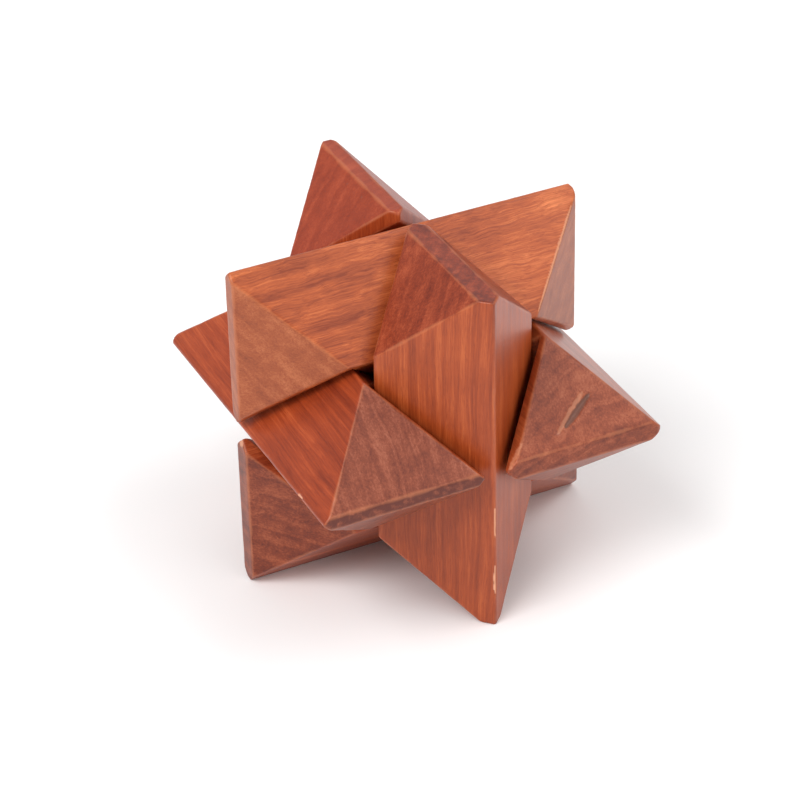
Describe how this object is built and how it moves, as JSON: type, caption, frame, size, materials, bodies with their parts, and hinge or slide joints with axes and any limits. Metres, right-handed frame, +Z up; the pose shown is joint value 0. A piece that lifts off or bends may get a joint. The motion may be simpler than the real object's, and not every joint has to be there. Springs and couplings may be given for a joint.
{
  "type": "wooden burr puzzle",
  "caption": "Star-shaped interlocking wooden burr puzzle: identical bevelled sticks held in one another's V notches, opening in halves along its diagonals.",
  "frame": {"origin": "centre of the footprint, on the surface the puzzle stands on", "axes": "+Z up along the two posts; the top and bottom bars run along X and the left and right bars along Y; the front post is at -Y"},
  "size_m": [0.0616, 0.061, 0.061],
  "materials": {
    "front_post_wood": "satin",
    "back_post_wood": "satin",
    "right_bar_wood": "satin",
    "left_bar_wood": "satin",
    "top_bar_wood": "satin",
    "bottom_bar_wood": "satin"
  },
  "bodies": {
    "bottom_bar": {"bottom_bar": "bottom_bar_wood"},
    "right_bar": {"right_bar": "right_bar_wood"},
    "back_post": {"back_post": "back_post_wood"},
    "front_post": {"front_post": "front_post_wood"},
    "left_bar": {"left_bar": "left_bar_wood"},
    "top_bar": {"top_bar": "top_bar_wood"}
  },
  "joints": [
    {"name": "split_right_front", "type": "slide", "parent": "bottom_bar", "child": "right_bar", "axis": [0.5774, -0.5774, 0.5774], "range_m": [0, 0.042]},
    {"name": "split_left_back", "type": "slide", "parent": "bottom_bar", "child": "back_post", "axis": [-0.5774, 0.5774, 0.5774], "range_m": [0, 0.042]},
    {"name": "split_left_front", "type": "slide", "parent": "right_bar", "child": "front_post", "axis": [-0.5774, -0.5774, 0.5774], "range_m": [0, 0.042]},
    {"name": "left_bar_follows", "type": "slide", "parent": "back_post", "child": "left_bar", "axis": [-0.5774, -0.5774, 0.5774], "range_m": [0, 0.042]},
    {"name": "top_bar_follows", "type": "slide", "parent": "left_bar", "child": "top_bar", "axis": [0.5774, -0.5774, 0.5774], "range_m": [0, 0.042]}
  ],
  "couplings": [
    {"joint": "left_bar_follows", "follows": "split_left_front", "ratio": 1},
    {"joint": "top_bar_follows", "follows": "split_right_front", "ratio": 1}
  ]
}
